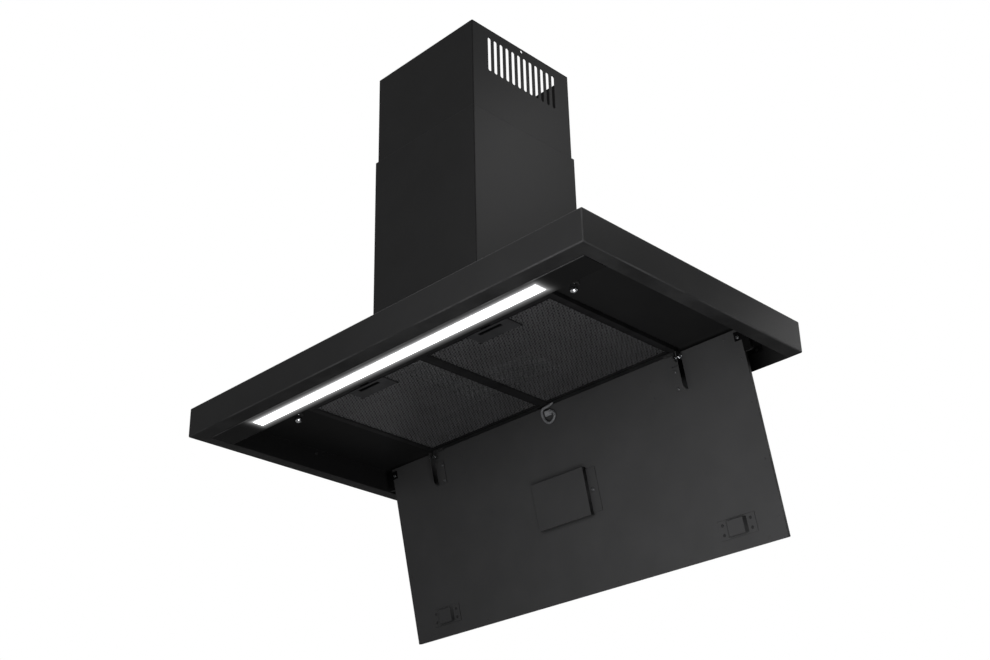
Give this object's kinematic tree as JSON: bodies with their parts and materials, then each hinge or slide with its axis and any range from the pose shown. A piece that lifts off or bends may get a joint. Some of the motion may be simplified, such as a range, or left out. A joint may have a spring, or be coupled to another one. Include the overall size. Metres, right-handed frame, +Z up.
{
  "type": "chimney range hood",
  "caption": "Flat black island hood with a telescoping chimney, a light strip, tilting grease filters and a hinged suction panel hanging open.",
  "frame": {"origin": "centre of the hanging frame's top face, on the chimney's axis", "axes": "+X to the hood's right seen from the front, +Y to the rear, +Z up"},
  "size_m": [0.9, 0.5, 0.911],
  "materials": {
    "black_sheet": "satin black powder coat",
    "zinc_steel": "zinc-plated",
    "chrome": "bright chrome",
    "aluminium": "black anodised",
    "black_plastic": "matt moulded",
    "diffuser": "opal, lit",
    "board": "circuit board",
    "fan_plastic": "moulded",
    "grey_rubber": "matt",
    "grey_plastic": "moulded",
    "black_glass": "back-painted black"
  },
  "bodies": {
    "hood": {"canopy_shell": "black_sheet", "recess_liner": "black_sheet", "rear_ties": "black_sheet", "tie_rivets": "zinc_steel", "wall_screws": "black_sheet", "light_plate": "black_sheet", "light_diffuser": "diffuser", "light_board": "board", "light_cover": "zinc_steel", "filter_bezel": "aluminium", "ball_studs": "chrome", "stud_nuts": "zinc_steel", "hinge_brackets": "black_sheet", "hinge_screws": "zinc_steel", "hinge_pins": "chrome", "cable_grommet": "grey_rubber", "lower_chimney": "black_sheet", "chimney_screws": "zinc_steel", "fan_box": "zinc_steel", "fan_scroll": "black_plastic", "fan_motor": "zinc_steel", "motor_spider": "zinc_steel", "capacitor": "aluminium", "outlet_collar": "black_plastic", "collar_screws": "zinc_steel", "flap_rod": "chrome", "corner_rails": "zinc_steel", "top_plate": "zinc_steel", "frame_bolts": "zinc_steel", "power_box": "zinc_steel", "power_board": "board", "cable_gland": "black_plastic"},
    "chimney_top": {"upper_chimney": "black_sheet"},
    "fan": {"fan_wheel": "fan_plastic", "motor_shaft": "chrome"},
    "damper_left": {"flap_left": "black_plastic"},
    "damper_right": {"flap_right": "black_plastic"},
    "filter_left_body": {"filter_left": "aluminium", "mesh_left": "aluminium", "latch_plate_left": "black_plastic"},
    "latch_left": {"latch_slider_left": "black_plastic"},
    "filter_right_body": {"filter_right": "aluminium", "mesh_right": "aluminium", "latch_plate_right": "black_plastic"},
    "latch_right": {"latch_slider_right": "black_plastic"},
    "panel": {"panel_skin": "black_sheet", "panel_sheet_inner": "black_sheet", "panel_rivets": "black_sheet", "hinge_arms": "black_sheet", "arm_rivets": "black_sheet", "catch_housings": "black_sheet", "catch_magnets": "zinc_steel", "catch_rivets": "black_sheet", "control_cover": "black_sheet", "cover_screw": "zinc_steel", "control_board": "board", "touch_window": "black_glass", "side_guides": "black_plastic", "cable_plug": "grey_plastic", "control_cable": "grey_rubber"}
  },
  "joints": [
    {"name": "panel_hinge", "type": "hinge", "parent": "hood", "child": "panel", "pos_m": [0, 0.1588, -0.4976], "axis": [1, 0, 0], "range_deg": [-102.2, 0]},
    {"name": "chimney_slide", "type": "slide", "parent": "hood", "child": "chimney_top", "axis": [0, 0, 1], "range_m": [-0.165, 0.15]},
    {"name": "fan_spin", "type": "hinge", "parent": "hood", "child": "fan", "pos_m": [0, -0.01, -0.37], "axis": [1, 0, 0], "continuous": true},
    {"name": "damper_left_hinge", "type": "hinge", "parent": "hood", "child": "damper_left", "pos_m": [0, 0, -0.173], "axis": [0, 1, 0], "range_deg": [0, 78]},
    {"name": "damper_right_hinge", "type": "hinge", "parent": "hood", "child": "damper_right", "pos_m": [0, 0, -0.173], "axis": [0, -1, 0], "range_deg": [0, 78]},
    {"name": "filter_left_tilt", "type": "hinge", "parent": "hood", "child": "filter_left_body", "pos_m": [-0.14, 0.14795, -0.48415], "axis": [1, 0, 0], "range_deg": [0, 40]},
    {"name": "latch_left_slide", "type": "slide", "parent": "filter_left_body", "child": "latch_left", "axis": [0, 1, 0], "range_m": [0, 0.004], "stiffness_N_per_m": 300, "springref_m": -0.004},
    {"name": "filter_right_tilt", "type": "hinge", "parent": "hood", "child": "filter_right_body", "pos_m": [0.14, 0.14795, -0.48415], "axis": [1, 0, 0], "range_deg": [0, 40]},
    {"name": "latch_right_slide", "type": "slide", "parent": "filter_right_body", "child": "latch_right", "axis": [0, 1, 0], "range_m": [0, 0.004], "stiffness_N_per_m": 300, "springref_m": -0.004}
  ]
}
